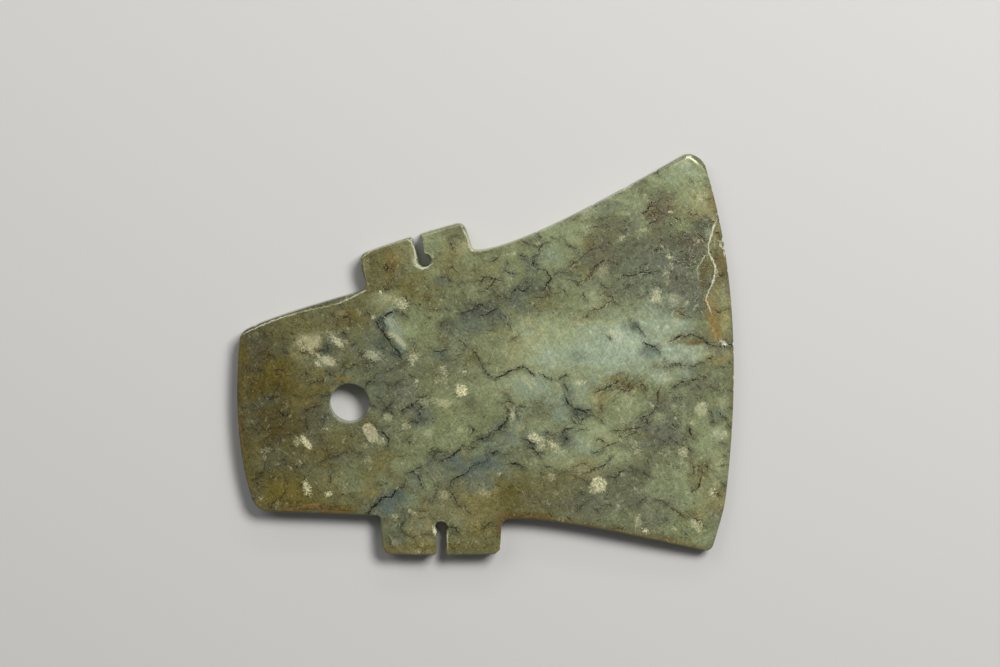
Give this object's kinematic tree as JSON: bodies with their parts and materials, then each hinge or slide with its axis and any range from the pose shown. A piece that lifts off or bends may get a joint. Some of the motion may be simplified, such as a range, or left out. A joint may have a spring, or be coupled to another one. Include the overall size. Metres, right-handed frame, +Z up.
{
  "type": "jadeite axe head",
  "caption": "Flat polished jade axe head with a drilled hole, keyhole-notched side flanges and a flaring, curved cutting edge; lies on its back face.",
  "frame": {"origin": "under the middle of the axe head's outline, on the surface that it lies on", "axes": "+X runs along the axe's centre line from the butt to the cutting edge, +Y across it to the side of the flange that is uppermost in the picture, +Z up out of the show face"},
  "size_m": [0.15, 0.1178, 0.006],
  "materials": {
    "jade": "polished mottled grey-green jade with olive and brown clouds, dark hair veins, cream flecks and russet edges"
  },
  "bodies": {
    "root": {"axe_head": "jade"}
  },
  "joints": []
}
